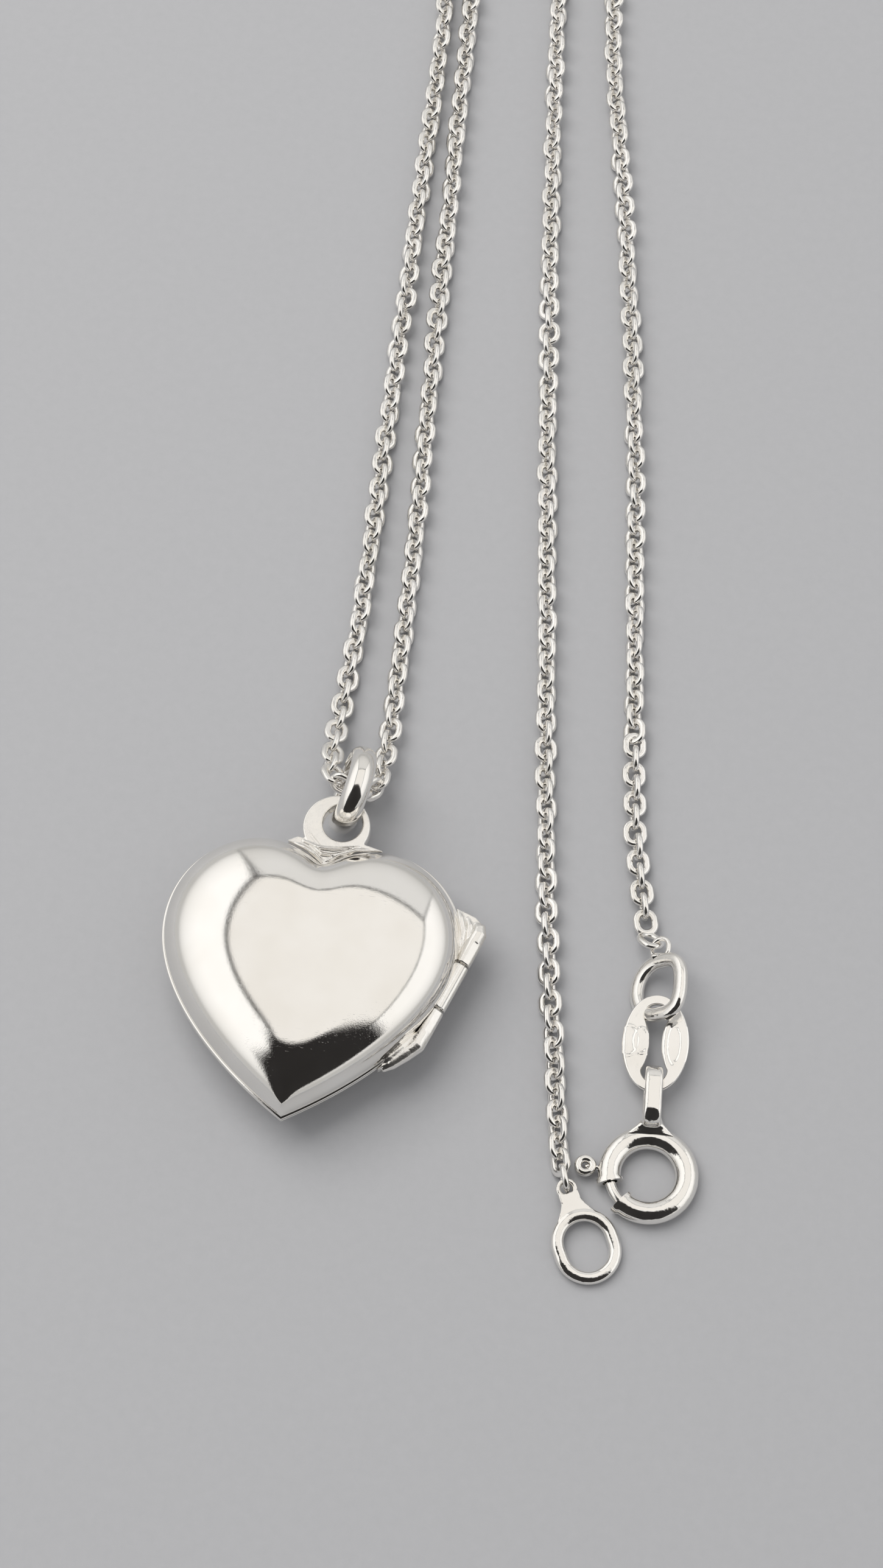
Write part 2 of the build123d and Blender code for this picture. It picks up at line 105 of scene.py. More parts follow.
# ---- materials ----
class Nodes:
    """Short way to build a material's node tree; shader is its Principled BSDF."""

    def __init__(self, name):
        self.material = bpy.data.materials.new(name)
        self.material.use_nodes = True
        self.tree = self.material.node_tree
        self.shader = self.tree.nodes["Principled BSDF"]

    def add(self, kind, inputs=None, **settings):
        """Adds a node, sets its properties, and sets or links its inputs."""
        node = self.tree.nodes.new(kind)
        for key, value in settings.items():
            setattr(node, key, value)
        self.feed(node, inputs or {})
        return node

    def feed(self, node, inputs):
        """Sets a node's inputs, or links them to other nodes' outputs."""
        for key, value in inputs.items():
            if isinstance(value, bpy.types.NodeSocket):
                self.tree.links.new(value, node.inputs[key])
            else:
                node.inputs[key].default_value = value

    def millimetres(self, scale=(1, 1, 1), turn=0.0):
        """The object's own coordinates in millimetres, stretched and turned in its plane."""
        place = self.add("ShaderNodeTexCoord").outputs["Object"]
        mapping = self.add("ShaderNodeMapping", {
            "Vector": place,
            "Rotation": (0, 0, radians(turn)),
            "Scale": tuple(s / MM for s in scale),
        })
        return mapping.outputs["Vector"]

    def noise(self, vector, scale, detail=3.0, roughness=0.5):
        """Cloudy pattern, from 0 to 1."""
        return self.add("ShaderNodeTexNoise", {
            "Vector": vector, "Scale": scale, "Detail": detail, "Roughness": roughness,
        }).outputs["Fac"]

    def ramp(self, value, low, high, out_low=0.0, out_high=1.0):
        """Maps the range from low to high onto another, and holds its ends."""
        return self.add("ShaderNodeMapRange", {
            "Value": value, "From Min": low, "From Max": high,
            "To Min": out_low, "To Max": out_high,
        }).outputs["Result"]

    def calculate(self, operation, first, second):
        """Sum or product of two values."""
        node = self.add("ShaderNodeMath", {0: first, 1: second}, operation=operation)
        return node.outputs["Value"]

    def mix(self, factor, first, second):
        """Colour between two, by a factor."""
        node = self.add("ShaderNodeMix", {"Factor": factor, "A": first, "B": second},
                        data_type="RGBA")
        return node.outputs["Result"]

    def bump(self, height, strength, depth, under=None):
        """Normal of a relief, its depth in millimetres, laid over another normal."""
        node = self.add("ShaderNodeBump", {
            "Height": height, "Strength": strength, "Distance": depth * MM,
        })
        if under is not None:
            self.feed(node, {"Normal": under})
        return node.outputs["Normal"]


GRIME = (0.16, 0.12, 0.08, 1)
SCRATCH_DEPTH = 0.004
SCRATCH_RUNS = ((25, 0.5, 14.0), (-48, 0.35, 18.0), (80, 0.8, 11.0))    # turn, along, across


def silver_colour(nodes, flat, light, dark, tarnish):
    """Slightly clouded metal, with grime in its hollows where there is tarnish."""
    cloud = nodes.noise(flat, 0.35, 2.0)
    colour = nodes.mix(nodes.ramp(cloud, 0.35, 0.7), (*light, 1), (*dark, 1))
    if not tarnish:
        return colour
    hollow = nodes.add("ShaderNodeNewGeometry").outputs["Pointiness"]
    return nodes.mix(nodes.ramp(hollow, 0.42, 0.49, tarnish, 0.0), colour, GRIME)


def silver_relief(nodes, flat, scratches, lumps):
    """Fine scratches in three directions and grain, over low lumps where it was cast."""
    lines = None
    for turn, along, across in SCRATCH_RUNS:
        streak = nodes.noise(nodes.millimetres((along, across, across), turn), 1.0, 2.0, 0.6)
        line = nodes.ramp(streak, 0.68, 0.76)
        lines = line if lines is None else nodes.calculate("ADD", lines, line)
    grain = nodes.noise(flat, 9.0, 4.0, 0.7)
    height = nodes.calculate("ADD", nodes.calculate("MULTIPLY", lines, -0.35), grain)
    under = None
    if lumps:
        under = nodes.bump(nodes.noise(flat, 2.6, 3.0, 0.6), 1.0, lumps)
    return nodes.bump(height, 0.35 * scratches, SCRATCH_DEPTH, under)


def silver(name, light, dark, roughness, scratches=1.0, lumps=0.0, tarnish=0.0):
    """Polished silver with worn polish; lumps is their height in millimetres."""
    nodes = Nodes(name)
    flat = nodes.millimetres()
    worn = nodes.noise(flat, 1.3, 4.0, 0.65)
    nodes.feed(nodes.shader, {
        "Base Color": silver_colour(nodes, flat, light, dark, tarnish),
        "Metallic": 1.0,
        "Normal": silver_relief(nodes, flat, scratches, lumps),
        "Roughness": nodes.ramp(worn, 0.3, 0.75, roughness * 0.7, roughness * 1.6),
    })
    return nodes.material


def drawn_steel():
    """Spring wire: greyer, with the marks of drawing."""
    nodes = Nodes("drawn_steel")
    grain = nodes.noise(nodes.millimetres(), 30.0, 3.0)
    nodes.feed(nodes.shader, {
        "Base Color": (0.45, 0.44, 0.43, 1),
        "Metallic": 1.0,
        "Roughness": nodes.ramp(grain, 0.3, 0.7, 0.25, 0.45),
    })
    return nodes.material


def clear_window():
    """Thin acetate: clear, with faint rubbing."""
    nodes = Nodes("clear_window")
    rub = nodes.noise(nodes.millimetres((0.6, 8, 8), 30), 1.0, 3.0)
    nodes.feed(nodes.shader, {
        "Base Color": (0.97, 0.98, 0.98, 1),
        "Transmission Weight": 1.0,
        "IOR": 1.49,
        "Roughness": nodes.ramp(rub, 0.5, 0.8, 0.02, 0.2),
    })
    return nodes.material


def blank_card():
    """Cream card with paper fibre."""
    nodes = Nodes("blank_card")
    mottle = nodes.noise(nodes.millimetres(), 1.2, 5.0, 0.7)
    fibre = nodes.noise(nodes.millimetres((3, 14, 14), 20), 1.0, 4.0, 0.7)
    mottled = nodes.ramp(mottle, 0.3, 0.75)
    nodes.feed(nodes.shader, {
        "Base Color": nodes.mix(mottled, (0.80, 0.74, 0.62, 1), (0.70, 0.62, 0.49, 1)),
        "Normal": nodes.bump(fibre, 0.5, 0.02),
        "Roughness": 0.85,
    })
    return nodes.material


WARM = (0.94, 0.92, 0.885)
WARM_DARK = (0.90, 0.875, 0.83)
CHAIN_LIGHT = (0.97, 0.95, 0.92)
CHAIN_DARK = (0.92, 0.90, 0.86)
CLASP_LIGHT = (0.96, 0.94, 0.905)
CLASP_DARK = (0.92, 0.895, 0.85)
MATERIALS = {
    "cover_silver": silver("cover_silver", WARM, WARM_DARK, 0.045, scratches=1.3),
    "hinge_silver": silver("hinge_silver", WARM, WARM_DARK, 0.2, lumps=0.02, tarnish=0.5),
    "frame_silver": silver("frame_silver", WARM, WARM_DARK, 0.18),
    "bail_silver": silver("bail_silver", WARM, WARM_DARK, 0.09, tarnish=0.5),
    "chain_silver": silver("chain_silver", CHAIN_LIGHT, CHAIN_DARK, 0.15, scratches=0.6),
    "clasp_silver": silver("clasp_silver", CLASP_LIGHT, CLASP_DARK, 0.10, lumps=0.012,
                           tarnish=0.5),
    "spring_steel": drawn_steel(),
    "clear_window": clear_window(),
    "photo_card": blank_card(),
}


def paint_frame():
    """Gives every CAD node the material of its slot."""
    for part in frame["record"]["subparts"]:
        node = frame["nodes"][part["node"]]
        node.data.materials.clear()
        node.data.materials.append(MATERIALS[part["material_slot"]])


# ---- mesh building ----
def place_at(point, x_axis, y_axis):
    """Matrix with its origin at a point and its x and y axes as given."""
    x_axis = Vector(x_axis).normalized()
    y_axis = Vector(y_axis).normalized()
    matrix = Matrix((x_axis, y_axis, x_axis.cross(y_axis))).transposed().to_4x4()
    matrix.translation = point
    return matrix


def turned(degrees, axis):
    """Matrix of a turn about one axis."""
    return Matrix.Rotation(radians(degrees), 4, axis)


def signed_power(value, power):
    """A power that keeps its value's sign."""
    return abs(value) ** power * (1 if value > 0 else -1)


def ring_profile(width, height=None, power=2.0, count=16):
    """Closed wire section: an ellipse, or squarer with a higher power."""
    height = height or width
    points = []
    for k in range(count):
        angle = 2 * pi * (k + 0.5) / count
        points.append((width / 2 * signed_power(cos(angle), 2 / power),
                       height / 2 * signed_power(sin(angle), 2 / power)))
    return points


def section(place, profile, scale=1.0):
    """A profile's points, standing at a place."""
    return [place @ Vector((x * scale, y * scale, 0)) for x, y in profile]


def skin(sections, around=False, caps=False):
    """Surface over closed sections; around joins the last to the first, caps close the ends."""
    count = len(sections[0])
    points = [point for ring in sections for point in ring]
    faces = []
    for row in range(len(sections) - (0 if around else 1)):
        here = row * count
        there = (row + 1) % len(sections) * count
        for k in range(count):
            after = (k + 1) % count
            faces.append((here + k, here + after, there + after, there + k))
    if caps:
        faces.append(tuple(range(count)))
        faces.append(tuple(len(points) - 1 - k for k in range(count)))
    return points, faces


def swept(places, profile, around=True):
    """Surface of a profile carried through places: a closed ring, or a bar with capped ends."""
    return skin([section(place, profile) for place in places], around=around, caps=not around)


def oval_frames(length, width, wire, count):
    """Places round an oval wire ring lying flat, long axis along Y: x outward, y up."""
    radius = (width - wire) / 2
    straight = (length - width) / 2
    places = []
    for k in range(count):
        angle = 2 * pi * (k + 0.5) / count
        outward = Vector((cos(angle), sin(angle), 0))
        shift = Vector((0, straight if sin(angle) > 0 else -straight, 0))
        places.append(place_at(outward * radius + shift, outward, UP))
    return places


def arc_frames(radius, start, end, count):
    """Places along an arc in the XY plane, degrees: x outward, y up."""
    places = []
    for k in range(count):
        angle = radians(start + (end - start) * k / (count - 1))
        outward = Vector((cos(angle), sin(angle), 0))
        places.append(place_at(outward * radius, outward, UP))
    return places


def ridge(points, width, height, sizes=None):
    """Low solid ridge along a few points: sizes are its shares of the section at each point."""
    line = [Vector(point) for point in points]
    sizes = sizes or [0.35] + [1.0] * (len(line) - 2) + [0.35]
    sections = []
    for k, (point, size) in enumerate(zip(line, sizes)):
        ahead = line[min(k + 1, len(line) - 1)]
        behind = line[max(k - 1, 0)]
        side = (ahead - behind).cross(UP)
        sections.append(section(place_at(point, side, UP),
                                ring_profile(width, height, count=20), size))
    return skin(sections, caps=True)


def moved(shape, place):
    """A shape's points and faces, taken to a place."""
    points, faces = shape
    return [place @ point for point in points], faces


@contextmanager
def edited(mesh):
    """Opens a mesh for editing, and writes it back."""
    edit = bmesh.new()
    edit.from_mesh(mesh)
    yield edit
    edit.to_mesh(mesh)
    edit.free()


def mesh_object(name, shape, scale=MM):
    """Smooth mesh object from points and faces in millimetres."""
    points, faces = shape
    mesh = bpy.data.meshes.new(name)
    mesh.from_pydata([tuple(point * scale) for point in points], [], faces)
    with edited(mesh) as edit:
        bmesh.ops.recalc_face_normals(edit, faces=edit.faces)
    mesh.shade_smooth()
    return in_scene(name, mesh)


def joined(shapes):
    """Several shapes as one."""
    points, faces = [], []
    for more_points, more_faces in shapes:
        start = len(points)
        points.extend(more_points)
        faces.extend(tuple(start + k for k in face) for face in more_faces)
    return points, faces


def applied(piece, scale=1.0):
    """Replaces a piece by the result of its modifiers, scaled about the origin."""
    graph = bpy.context.evaluated_depsgraph_get()
    mesh = bpy.data.meshes.new_from_object(piece.evaluated_get(graph))
    piece.modifiers.clear()
    piece.data = mesh
    mesh.transform(Matrix.Scale(scale, 4))
    mesh.shade_smooth()
    return piece


def fused(name, shapes, voxel, smoothing):
    """Closed shapes melted into one, as solder and casting do, with soft inner corners."""
    piece = mesh_object(name, joined(shapes), scale=1.0)
    remesh = piece.modifiers.new("melt", "REMESH")
    remesh.mode = "VOXEL"
    remesh.voxel_size = voxel
    soften = piece.modifiers.new("soften", "SMOOTH")
    soften.factor = 0.5
    soften.iterations = smoothing
    return applied(piece, MM)


def cut(piece, cutters):
    """Takes closed shapes away from a piece."""
    for cutter in cutters:
        tool = mesh_object("cutter", cutter)
        difference = piece.modifiers.new("cut", "BOOLEAN")
        difference.operation = "DIFFERENCE"
        difference.solver = "EXACT"
        difference.object = tool
        applied(piece)
        bpy.data.objects.remove(tool)


def settle(piece, body, slot, *nodes):
    """Gives a piece its body, its material and the CAD nodes that it stands for."""
    piece.data.materials.clear()
    piece.data.materials.append(MATERIALS[slot])
    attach(piece, body)
    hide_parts(*nodes)


# ---- chain ----
LINK_LENGTH = 1.74
LINK_WIDTH = 1.46
LINK_WIRE = 0.42              # the flat wire's width, across the ring
LINK_THICKNESS = 0.34
LINK_PITCH = 0.9375
CHAIN_DIAMETER = 1.2
LIE = CHAIN_DIAMETER / 2
FIRST_LINK_AT = 0.1           # distance from the route's start
TWIST_WAVES = ((16, 0.31, 0.0), (10, 0.13, 1.7))    # (degrees, radians per millimetre, start)
END_TWIST = 38                # degrees, along the last length before the clasp
END_LENGTH = 12
ROLL_SPREAD = 7               # degrees of chance in each link's turn
SWAY = 0.05
FLOOR_CLEARANCE = 0.02

CHAIN_ROUTE = [
    # up from the end ring
    (15.56, -8.53, LIE), (15.2, -7.0, LIE), (14.75, -4.2, LIE), (13.75, 1.2, LIE),
    (12.45, 9.2, LIE), (10.9, 22.0, LIE), (8.4, 42.8, LIE), (6.15, 64.0, LIE),
    (5.15, 75.5, LIE),
    # the nearer bend, outside the view
    (5.7, 81.5, LIE), (7.0, 86.6, LIE), (7.2, 91.8, LIE), (2.4, 94.9, LIE),
    (-2.4, 92.0, LIE), (-2.3, 86.6, LIE), (-0.9, 81.6, LIE), (-0.35, 74.0, LIE),
    # down to the bail, round it, and up again
    (0.2, 61.0, LIE), (1.55, 36.0, LIE), (2.15, 23.5, LIE), (2.3, 17.6, LIE),
    (2.3, 14.4, 1.05), (2.25, 11.55, 1.97), (-0.63, 11.85, 2.75), (-0.85, 14.8, 1.25),
    (-0.75, 17.8, LIE), (-0.6, 23.8, LIE), (-0.95, 36.5, LIE), (-1.45, 56.5, LIE),
    (-2.0, 73.5, LIE),
    # the further bend, outside the view
    (-3.0, 81.5, LIE), (-4.6, 89.5, LIE), (-4.6, 97.0, LIE), (0.5, 102.0, LIE),
    (7.2, 101.3, LIE), (10.6, 95.5, LIE), (10.3, 87.5, LIE), (9.0, 80.0, LIE),
    # down to the clasp
    (9.1, 70.0, LIE), (11.8, 56.0, LIE), (14.3, 39.5, LIE), (15.9, 25.0, LIE),
    (17.1, 13.8, LIE), (17.9, 9.2, LIE), (18.65, 6.45, LIE),
]


def route_line():
    """Points of the route's smooth line, in millimetres."""
    curve = bpy.data.curves.new("route", "CURVE")
    curve.dimensions = "3D"
    spline = curve.splines.new("NURBS")
    spline.points.add(len(CHAIN_ROUTE) - 1)
    for point, place in zip(spline.points, CHAIN_ROUTE):
        point.co = (*[c * MM for c in place], 1)
    spline.order_u = 3
    spline.use_endpoint_u = True
    spline.resolution_u = 24
    holder = in_scene("route", curve)
    mesh = bpy.data.meshes.new_from_object(holder)
    line = [vertex.co / MM for vertex in mesh.vertices]
    bpy.data.objects.remove(holder)
    bpy.data.meshes.remove(mesh)
    return line


def along_line(line, distances):
    """Points and directions at distances along a line; the ends run on straight."""
    steps = [(b - a).length for a, b in zip(line, line[1:])]
    found = []
    reached = 0.0
    k = 0
    for distance in distances:
        while k < len(steps) - 1 and reached + steps[k] < distance:
            reached += steps[k]
            k += 1
        direction = (line[k + 1] - line[k]).normalized()
        found.append((line[k] + direction * (distance - reached), direction))
    return found


def link_shape():
    """One link lying flat about its own centre, long axis along Y."""
    profile = ring_profile(LINK_WIRE, LINK_THICKNESS, power=2.8, count=8)
    return swept(oval_frames(LINK_LENGTH, LINK_WIDTH, LINK_WIRE, 22), profile)


def twist_at(y, length_left):
    """How far the pairs of links are turned from 45 degrees, by where the chain lies."""
    if length_left <= END_LENGTH:
        return END_TWIST
    return sum(size * sin(rate * y + start) for size, rate, start in TWIST_WAVES)


def chain_links():
    """All links along the route, each a quarter turn from the one before it."""
    line = route_line()
    length = sum((b - a).length for a, b in zip(line, line[1:]))
    count = round((length - FIRST_LINK_AT) / LINK_PITCH)
    pitch = (length - FIRST_LINK_AT) / count
    chance = random.Random(7)
    link = link_shape()
    half_width = (LINK_WIDTH - LINK_WIRE) / 2
    shapes = []
    stations = along_line(line, [FIRST_LINK_AT + pitch * k for k in range(count + 1)])
    for k, (point, direction) in enumerate(stations):
        side = direction.cross(UP).normalized()
        top = side.cross(direction)
        quarter = 45 if k % 2 else -45
        twist = twist_at(point.y, length - pitch * k)
        roll = radians(quarter + twist + chance.uniform(-ROLL_SPREAD, ROLL_SPREAD))
        normal = top * cos(roll) + side * sin(roll)
        width = direction.cross(normal)
        reach = half_width * abs(width.z) + LINK_WIRE / 2 + FLOOR_CLEARANCE
        lift = max(0.0, reach - point.z)
        sway = side * chance.uniform(-SWAY, SWAY)
        place = place_at(point + UP * lift + sway, width, direction)
        shapes.append(moved(link, place))
    piece = mesh_object("chain_links", joined(shapes))
    settle(piece, "chain", "chain_silver", "chain")
    return piece, line, length


# ---- heart covers ----
SEAM_Z = joint_point("cover_hinge").z
HALF_WIDTH = -box_mm("front_cover")[0].x
COVER_HEIGHT = box_mm("front_cover")[1].z - SEAM_Z
WALL = 0.4
CROWN = 0.45                  # the level top's share of the outline
DOME_FULLNESS = 2.3
DOME_FOOT = 0.985             # the outer dome's foot, as a share of the outline
CROWN_RISE = 0.04             # share by which the dome's height grows from its edge to its middle
RIM = (    # (share of the outline, height) round the bright flat rim
    (0.994, 0.0), (0.999, 0.02), (1.0, 0.05), (1.0, 0.18), (0.998, 0.22),
    (0.992, 0.245), (0.986, 0.25),
)
RIM_TOP = 0.27
SIDE_SOFTENING = 9            # rounding passes per ring, times how far it is drawn in
CROWN_SOFTENING = 6
CLOSED_GAP = 0.012            # hair's breadth between the two closed covers
OUTLINE_SIDE = (
    ((0, 6.3), (1.4, 7.3), (2.6, 7.6), (3.4, 7.6), 16),
    ((3.4, 7.6), (5.9, 7.6), (8.5, 5.4), (8.5, 2.0), 34),
    ((8.5, 2.0), (8.5, -1.8), (4.9, -5.9), (0, -8.9), 56),
)


def heart_outline():
    """Points round the heart from its cleft, down the right side and up the left."""
    right = []
    for start, first, second, end, steps in OUTLINE_SIDE:
        curve = interpolate_bezier(Vector(start), Vector(first), Vector(second), Vector(end),
                                   steps + 1)
        right.extend(curve[:-1])
    tip = Vector(OUTLINE_SIDE[-1][3])
    left = [Vector((-point.x, point.y)) for point in reversed(right[1:])]
    return np.array([(point.x, point.y) for point in right + [tip] + left])


def softened(ring, passes):
    """A closed ring of points with its corners rounded by repeated averaging."""
    for _ in range(passes):
        ring = (np.roll(ring, 1, 0) + 2 * ring + np.roll(ring, -1, 0)) / 4
    return ring


def dome_rings(outline, scale, height, steps=44, crown_steps=10):
    """Rings of a pillow dome from its foot up: (points, height above the seam)."""
    rings = []
    ring = outline
    for step in range(steps):
        angle = radians(90 * step / steps)
        spread = cos(angle) ** (2 / DOME_FULLNESS)
        rise = sin(angle) ** (2 / DOME_FULLNESS)
        level = CROWN + (1 - CROWN) * spread
        ring = softened(ring, round(SIDE_SOFTENING * (1 - level)))
        rings.append((ring * scale * level, height * rise * (1 - CROWN_RISE * level ** 2)))
    for step in range(crown_steps):
        level = CROWN * (1 - step / crown_steps)
        ring = softened(ring, CROWN_SOFTENING)
        rings.append((ring * scale * level, height * (1 - CROWN_RISE * level ** 2)))
    return rings


def cover_shape(outline):
    """One cover, open side down on its seam: bright flat rim, dome and hollow inside."""
    inner = dome_rings(outline, 1 - WALL / HALF_WIDTH, COVER_HEIGHT - WALL)
    outer = dome_rings(outline, DOME_FOOT, COVER_HEIGHT)
    rings = list(reversed(inner)) + [(outline * share, z) for share, z in RIM]
    rings += [(ring, z) for ring, z in outer if z > RIM_TOP]
    sections = [[Vector((x, y, z)) for x, y in ring] for ring, z in rings]
    points, faces = skin(sections)
    count = len(outline)
    for start, z, turn in ((0, inner[-1][1], 1), (len(points) - count, outer[-1][1], -1)):
        points.append(Vector((0, 0, z)))
        for k in range(count):
            faces.append((start + k, start + (k + 1) % count, len(points) - 1)[::turn])
    return points, faces


# ---- hinge ----
PIN_POINT = joint_point("cover_hinge")
PIN_AXIS = joint_axis("cover_hinge")
PIN_OUT = PIN_AXIS.cross(UP)
BARREL = 0.48
BARREL_FLAT = 0.06            # depth of the flat filed on the barrel
FLAT_FACES = 62               # degrees up from straight outward
KNUCKLES = {"middle": (-1.45, 1.45), "top": (1.55, 4.0), "bottom": (-4.45, -1.55)}
KNUCKLE_ROOM = 0.1            # clearance cut in a cover round the other cover's knuckles
HINGE_VOXEL = 0.04
LEAF_BELOW = 0.38             # the lower leaves reach this far under the seam


def barrel(start, end, radius, flat=0.0, bevel=0.05, count=40):
    """Length of hinge barrel with bevelled ends and a filed flat on its outer top."""
    stations = [(start, radius - bevel), (start + bevel, radius),
                (end - bevel, radius), (end, radius - bevel)]
    sections = []
    for along, size in stations:
        place = place_at(PIN_POINT + PIN_AXIS * along, PIN_OUT, UP)
        ring = []
        for k in range(count):
            angle = 2 * pi * k / count
            facing = cos(angle - radians(FLAT_FACES))
            reach = min(size, (size - flat) / facing) if facing > 0.1 else size
            ring.append(place @ Vector((reach * cos(angle), reach * sin(angle), 0)))
        sections.append(ring)
    return skin(sections, caps=True)


def plate(outline, low, high):
    """Flat plate with an outline in the seam's plane."""
    sections = [[Vector((x, y, z)) for x, y in outline] for z in (low, high)]
    return skin(sections, caps=True)


def pin_at(along, outward=0.0):
    """Place in the seam's plane, along the hinge pin and outward from it."""
    point = PIN_POINT + PIN_AXIS * along + PIN_OUT * outward
    return point.x, point.y


def make_covers():
    """Both covers, the lower one turned over, cut back round the other cover's knuckles."""
    shape = cover_shape(heart_outline())
    raise_to_seam = Matrix.Translation((0, 0, SEAM_Z))
    closed_gap = Matrix.Translation((0, 0, CLOSED_GAP))
    front = mesh_object("front_cover_shell", moved(shape, closed_gap @ raise_to_seam))
    turned_over = raise_to_seam @ Matrix.Diagonal((1, 1, -1, 1))
    back = mesh_object("back_cover_shell", moved(shape, turned_over))
    room = BARREL + KNUCKLE_ROOM
    middle_start, middle_end = KNUCKLES["middle"]
    cut(front, [barrel(KNUCKLES["bottom"][0] - KNUCKLE_ROOM, middle_start, room),
                barrel(middle_end, KNUCKLES["top"][1] + KNUCKLE_ROOM, room)])
    cut(back, [barrel(middle_start - KNUCKLE_ROOM, middle_end + KNUCKLE_ROOM, room)])
    settle(front, "locket_front", "cover_silver", "front_cover")
    settle(back, "locket_back", "cover_silver", "back_cover")


def make_middle_knuckle():
    """Front cover's knuckle, with the narrow leaf that joins it to the cover."""
    leaf = [pin_at(-1.43, 0.25), pin_at(1.43, 0.25), pin_at(1.43, -0.62), pin_at(-1.43, -0.9)]
    piece = fused("knuckle_middle", [
        barrel(*KNUCKLES["middle"], BARREL, BARREL_FLAT),
        plate(leaf, SEAM_Z + 0.06, SEAM_Z + 0.4),
    ], HINGE_VOXEL, 2)
    settle(piece, "locket_front", "hinge_silver", "hinge_knuckle_middle")


def make_top_knuckle():
    """Back cover's upper knuckle: rounded end, corner plate and two ridges of solder."""
    corner = [pin_at(1.57, 0.3), pin_at(3.5, 0.38), pin_at(3.95, 0.25), pin_at(4.2, -0.1),
              pin_at(4.4, -0.6), pin_at(4.4, -1.15), (7.85, 4.85), (8.12, 4.2), (8.42, 3.0),
              pin_at(1.57, -0.5)]
    rounded_end = [(*pin_at(3.0), SEAM_Z), (*pin_at(3.6), SEAM_Z),
                   (*pin_at(3.95, -0.16), SEAM_Z), (*pin_at(4.15, -0.5), SEAM_Z)]
    inner_solder = [(7.95, 4.8, 2.95), (8.15, 4.3, 3.04), (8.4, 3.5, 3.0), (8.4, 2.5, 2.95)]
    outer_solder = [(8.5, 4.5, 2.95), (8.75, 3.9, 3.05), (8.75, 3.1, 3.0), (8.6, 2.4, 2.95)]
    piece = fused("knuckle_top", [
        barrel(KNUCKLES["top"][0], 3.5, BARREL, BARREL_FLAT),
        ridge(rounded_end, 2 * BARREL, 2 * BARREL, (0.96, 1.03, 0.84, 0.4)),
        plate(corner, SEAM_Z - LEAF_BELOW, SEAM_Z + 0.22),
        ridge(inner_solder, 0.4, 0.3),
        ridge(outer_solder, 0.35, 0.26),
    ], HINGE_VOXEL, 3)
    settle(piece, "locket_back", "hinge_silver", "hinge_knuckle_top")


def make_bottom_knuckle():
    """Back cover's lower knuckle, whose long leaf bends round the cover in two facets."""
    tail = [pin_at(-1.57, 0.35), pin_at(-3.2, 0.35), pin_at(-3.95, 0.22), pin_at(-4.5, -0.1),
            (6.23, -4.3), (5.41, -4.85), (4.8, -5.35), (4.85, -5.2), (5.6, -4.4),
            pin_at(-4.45, -0.52), pin_at(-1.57, -0.5)]
    outer_facet = [(*pin_at(-3.0), SEAM_Z), (*pin_at(-3.85), SEAM_Z), (6.2, -4.1, SEAM_Z - 0.04),
                   (5.5, -4.75, SEAM_Z - 0.1), (5.0, -5.15, SEAM_Z - 0.14)]
    inner_facet = [(7.4, -1.8, SEAM_Z), (6.75, -2.9, SEAM_Z + 0.06), (6.05, -3.8, SEAM_Z + 0.1),
                   (5.35, -4.5, SEAM_Z + 0.06), (4.75, -5.05, SEAM_Z)]
    piece = fused("knuckle_bottom", [
        barrel(-3.7, KNUCKLES["bottom"][1], BARREL, BARREL_FLAT),
        plate(tail, SEAM_Z - LEAF_BELOW, SEAM_Z + 0.2),
        ridge(outer_facet, 2 * BARREL, 2 * BARREL, (0.96, 1.03, 0.95, 0.8, 0.45)),
        ridge(inner_facet, 0.8, 0.66, (0.4, 0.8, 1.0, 0.85, 0.4)),
    ], HINGE_VOXEL, 9)
    settle(piece, "locket_back", "hinge_silver", "hinge_knuckle_bottom")


# ---- eye and bail ----
def disc_with_hole(centre, radius, hole_centre, hole_radius, low, high, bevel=0.07, count=96):
    """Flat round eye with an off-centre hole and softened edges."""
    sections = []
    for offset, z, outside in ((0, low + bevel, 1), (-bevel, low, 1), (bevel, low, 0),
                               (0, low + bevel, 0), (0, high - bevel, 0), (bevel, high, 0),
                               (-bevel, high, 1), (0, high - bevel, 1)):
        middle = centre if outside else hole_centre
        size = (radius if outside else hole_radius) + offset
        sections.append([Vector((middle[0] + size * cos(2 * pi * k / count),
                                 middle[1] + size * sin(2 * pi * k / count), z))
                         for k in range(count)])
    return skin(sections, around=True)


EYE_CENTRE = (0.35, 8.85)
EYE_RADIUS = 1.95
EYE_HOLE = (0.66, 9.1)
EYE_HOLE_RADIUS = 1.15
EYE_UNDERSIDE = 2.4
WEDGE_TOP = 3.16
WEDGE = [(0.0, 6.3), (0.62, 6.85), (1.3, 7.27), (2.1, 7.55), (3.3, 7.66), (2.6, 7.84),
         (2.1, 7.95), (0.5, 7.76), (-0.8, 7.8), (-1.75, 7.95), (-2.3, 7.62), (-1.7, 7.38),
         (-1.1, 7.1), (-0.5, 6.7)]
SOLDER_LINES = [    # (points, width, height)
    (((-2.15, 7.6, 3.05), (-1.3, 7.3, 3.2), (-0.6, 6.95, 3.22), (-0.1, 6.55, 3.2)), 0.2, 0.24),
    (((0.05, 6.6, 3.16), (0.8, 7.12, 3.2), (1.7, 7.5, 3.2), (3.2, 7.74, 3.0)), 0.2, 0.22),
    (((-1.4, 7.7, 3.2), (-0.4, 7.35, 3.27), (0.6, 7.4, 3.25), (1.9, 7.72, 3.2)), 0.16, 0.2),
    (((-0.9, 7.45, 3.2), (-0.2, 7.0, 3.26), (0.4, 7.0, 3.22), (1.3, 7.45, 3.2)), 0.14, 0.16),
]


